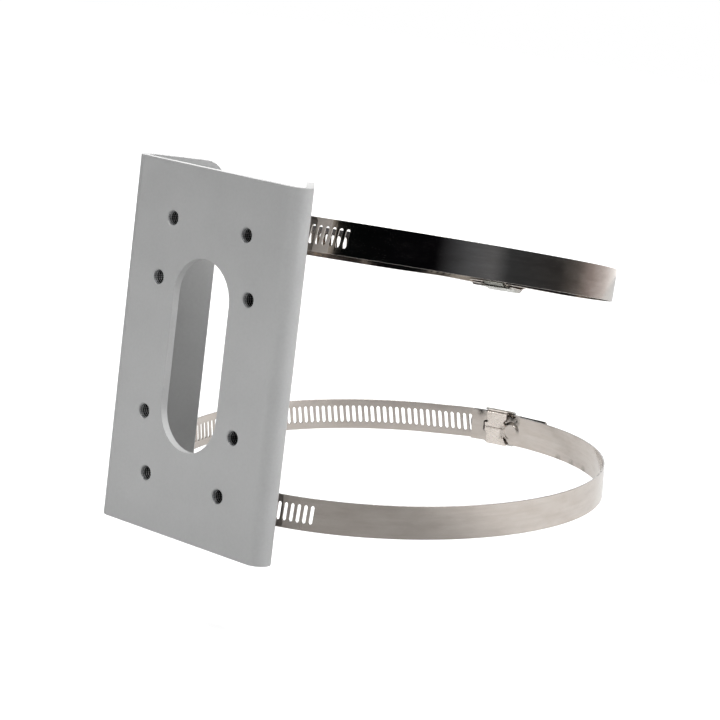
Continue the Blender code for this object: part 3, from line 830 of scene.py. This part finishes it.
def clamp_material(name):
    """Tumbled stainless pressing, with soft dents and fine scratches."""
    shader = Shader(name)
    place = shader.place()
    dents = shader.noise(place, 420, roughness=0.5)
    scratches = shader.stretched_noise(place, (700, 900, 5200))
    soot = shader.noise(place, 240, detail=4)
    base = shader.colours(soot, tuple(zip(CLAMP_LEVELS, CLAMP_TONES[name])))
    # Painted shade in the crevices of both clamps
    shade_and_marks = shader.shade_and_marks(place, ["upper", "lower"])
    shader.give("Base Color", shader.mixed(shade_and_marks, base, SHADE_AND_MARK_COLOUR))
    shader.give("Metallic", 1.0)
    shader.give("Roughness", shader.spread(scratches, NOISE_RANGE, (0.18, 0.38)))
    shallow = shader.bump(dents, strength=0.16, distance=0.00025)
    scratched = shader.bump(scratches, strength=0.15, distance=0.00003, under=shallow)
    shader.give("Normal", scratched)
    return shader.material


def screw_material():
    """Plated screw steel, darker than the clamp, with turning marks."""
    shader = Shader("screw_steel")
    place = shader.place()
    marks = shader.stretched_noise(place, (6000, 700, 700))
    wear = shader.noise(place, 520, detail=4)
    shader.give("Base Color", shader.colours(wear, SCREW_TONES))
    shader.give("Metallic", 1.0)
    shader.give("Roughness", shader.spread(wear, NOISE_RANGE, (0.24, 0.42)))
    shader.give("Normal", shader.bump(marks, strength=0.18, distance=0.00004))
    return shader.material


def thread_material(name):
    """Steel of the cut threads, blackened by painted shade further into the hole."""
    shader = Shader(name)
    place = shader.place()
    grain = shader.noise(place, 1500)
    # Painted shade: the steel turns black between the two depths
    mouth_share = shader.spread(shader.split(place)["Y"], DEEP_SHADE_DEPTHS, (1, 0))
    steel = shader.colours(grain, THREAD_TONES[name])
    shader.give("Base Color", shader.mixed(mouth_share, DEEP_SHADE_COLOUR, steel))
    shader.give("Metallic", 0.2)
    shader.give("Specular IOR Level", 0.15)
    shader.give("Roughness", shader.spread(grain, NOISE_RANGE, (0.25, 0.42)))
    shader.give("Normal", shader.bump(grain, strength=0.2, distance=0.00003))
    return shader.material


# Room


def add_camera():
    data = bpy.data.cameras.new("camera")
    data.lens = CAMERA_LENS
    data.sensor_width = CAMERA_SENSOR
    data.clip_start, data.clip_end = CAMERA_CLIP
    camera = bpy.data.objects.new("camera", data)
    axes = (CAMERA_RIGHT, [-v for v in CAMERA_DOWN], [-v for v in CAMERA_AHEAD])
    turn = Matrix(axes).transposed().to_4x4()
    camera.matrix_world = Matrix.Translation(CAMERA_PLACE) @ turn
    bpy.context.scene.collection.objects.link(camera)
    bpy.context.scene.camera = camera


def add_lamp(name, place, target, size, power, reflected):
    """Soft square lamp that faces its target and that the camera doesn't see."""
    data = bpy.data.lights.new(name, "AREA")
    data.shape = "SQUARE"
    data.size = size
    data.energy = power
    lamp = bpy.data.objects.new(name, data)
    lamp.location = place
    lamp.rotation_mode = "QUATERNION"
    facing = Vector(target) - Vector(place)
    lamp.rotation_quaternion = facing.to_track_quat("-Z", "Y")
    lamp.visible_camera = False
    lamp.visible_glossy = reflected
    bpy.context.scene.collection.objects.link(lamp)


def add_world():
    """White where it is seen or reflected, and dimmer as a light."""
    world = bpy.data.worlds.new("studio")
    bpy.context.scene.world = world
    world.use_nodes = True
    world.node_tree.nodes.clear()
    graph = Graph(world.node_tree)
    path = graph.node("ShaderNodeLightPath").outputs
    seen = graph.maths("MAXIMUM", path["Is Camera Ray"], path["Is Glossy Ray"])
    seen = graph.maths("MAXIMUM", seen, path["Is Transmission Ray"])
    mix = graph.node("ShaderNodeMixShader")
    graph.join(seen, mix.inputs["Fac"])
    for index, strength in ((1, WORLD_LIGHT), (2, WORLD_WHITE)):
        light = graph.node("ShaderNodeBackground")
        light.inputs["Color"].default_value = (1, 1, 1, 1)
        light.inputs["Strength"].default_value = strength
        graph.join(light.outputs["Background"], mix.inputs[index])
    out = graph.node("ShaderNodeOutputWorld")
    graph.join(mix.outputs["Shader"], out.inputs["Surface"])


def bare_material(name):
    """Material without nodes, and the graph that they are made in."""
    material = bpy.data.materials.new(name)
    material.use_nodes = True
    material.node_tree.nodes.clear()
    return material, Graph(material.node_tree)


def show_in_reflections_only(sheet):
    sheet.visible_camera = False
    sheet.visible_diffuse = False
    sheet.visible_shadow = False
    sheet.visible_transmission = False


def floor_material():
    """Matt tone with a shade in reflections, and a glow that only the camera sees."""
    material, graph = bare_material("floor_white")
    place = graph.place()
    path = graph.node("ShaderNodeLightPath").outputs
    shade = graph.spread(
        graph.distance(place, SHADE_PLACE), SHADE_REACH, (SHADE_DEPTH, 0), "SMOOTHSTEP"
    )
    depth = graph.maths("MULTIPLY", shade, path["Is Glossy Ray"])
    matt = graph.node("ShaderNodeBsdfDiffuse")
    tone = graph.mixed(depth, (FLOOR_TONE, FLOOR_TONE, FLOOR_TONE), (0, 0, 0))
    graph.join(tone, matt.inputs["Color"])
    glow = graph.node("ShaderNodeEmission")
    glow.inputs["Color"].default_value = (1, 1, 1, 1)
    level = graph.spread(graph.distance(place, (0, 0, 0)), GLOW_REACH, GLOW_STRENGTH)
    level = graph.maths("MULTIPLY", path["Is Camera Ray"], level)
    graph.join(level, glow.inputs["Strength"])
    both = graph.node("ShaderNodeAddShader")
    graph.join(matt.outputs["BSDF"], both.inputs[0])
    graph.join(glow.outputs["Emission"], both.inputs[1])
    out = graph.node("ShaderNodeOutputMaterial")
    graph.join(both.outputs["Shader"], out.inputs["Surface"])
    return material


def add_floor():
    """Pale floor below the straps' lowest reach.

    A card at the plate's foot, which only reflections see, stands in for it in them.
    """
    material = floor_material()
    for name, drop in (("floor", FLOOR_DROP), ("reflection_card", CARD_DROP)):
        builder = bmesh.new()
        bmesh.ops.create_grid(
            builder, x_segments=FLOOR_CELLS, y_segments=FLOOR_CELLS, size=FLOOR_REACH
        )
        sheet = finish_mesh(builder, name)
        sheet.location = (0, 0, CAD_BOX[0].z - drop)
        sheet.data.materials.append(material)
    show_in_reflections_only(sheet)


def flag_material():
    """Shades of the flag, by the angle round the part from its middle."""
    material, graph = bare_material("flag_cloth")
    middle = (FLAG_START + FLAG_END) / 2
    parts = graph.split(graph.framed(graph.place(), rotation=(0, 0, middle)))
    ahead = graph.maths("MULTIPLY", parts["Y"], -1)
    angle = graph.maths("ARCTAN2", parts["X"], ahead)
    share = graph.spread(angle, (FLAG_START - middle, FLAG_END - middle), (0, 1))
    stops = [
        ((radians(degrees) - FLAG_START) / (FLAG_END - FLAG_START), shade)
        for degrees, shade in FLAG_SHADES
    ]
    glow = graph.node("ShaderNodeEmission")
    graph.join(graph.colours(share, stops), glow.inputs["Color"])
    out = graph.node("ShaderNodeOutputMaterial")
    graph.join(glow.outputs["Emission"], out.inputs["Surface"])
    return material


def add_flag():
    """Curved screen round most of the part, which only the polished steel picks up."""
    builder = bmesh.new()
    columns = []
    for step in range(FLAG_STEPS + 1):
        angle = FLAG_START + (FLAG_END - FLAG_START) * step / FLAG_STEPS
        x = FLAG_RADIUS * sin(angle)
        y = -FLAG_RADIUS * cos(angle)
        low = builder.verts.new((x, y, CAD_BOX[0].z))
        high = builder.verts.new((x, y, FLAG_RADIUS * tan(FLAG_HIGH)))
        columns.append((low, high))
    for before, after in zip(columns, columns[1:]):
        builder.faces.new((before[0], after[0], after[1], before[1]))
    flag = finish_mesh(builder, "dark_flag")
    flag.data.materials.append(flag_material())
    show_in_reflections_only(flag)


def add_copies(materials, top_edge_steel_painted_dark):
    """Rounded copies of the plate, the bands, the housings and the screws."""
    for node, (name, body, finish) in DRESSED.items():
        piece = rounded_copy(node, name, *ROUNDING[finish])
        if finish == "band_steel":
            pierce(piece, name.removeprefix("band_"))
        even_normals(piece)
        piece.data.materials.clear()
        piece.data.materials.append(materials[name])
        if finish == "band_steel":
            piece.data.materials.append(top_edge_steel_painted_dark)
            # Cut edges that look up get the darker steel: painted shade
            for face in piece.data.polygons:
                face.material_index = int(face.normal.z > EDGE_FACING)
        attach(piece, body)
        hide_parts(node)


def add_clamp_details(materials):
    """New saddles, and the bosses of the locks beside them."""
    for which in ("upper", "lower"):
        body = which + "_strap"
        saddle = build_saddle(which)
        saddle.data.materials.append(materials["saddle_" + which])
        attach(saddle, body)
        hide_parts("clamp_saddle_" + which)
        boss = build_boss(which)
        boss.data.materials.append(materials["band_" + which])
        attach(boss, body)


def add_threads():
    threads = build_threads()
    for name in THREAD_TONES:
        threads.data.materials.append(thread_material(name))
    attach(threads, "bracket")


def main():
    housing_steel = clamp_material("housing_steel")
    screw_steel = screw_material()
    materials = {
        "plate": paint_material(),
        "band_upper": band_material("upper"),
        "band_lower": band_material("lower"),
        "housing_upper": housing_steel,
        "housing_lower": housing_steel,
        "screw_upper": screw_steel,
        "screw_lower": screw_steel,
        # The upper saddle is the lower saddle's steel painted dark: a painted reflection
        "saddle_upper": clamp_material("saddle_steel_painted_dark"),
        "saddle_lower": clamp_material("saddle_steel"),
    }
    add_copies(materials, clamp_material("top_edge_steel_painted_dark"))
    add_clamp_details(materials)
    add_threads()

    add_camera()
    add_world()
    add_floor()
    add_flag()
    for name, settings in LAMPS.items():
        add_lamp(name, *settings)
    bpy.context.scene.view_settings.view_transform = "Standard"


main()
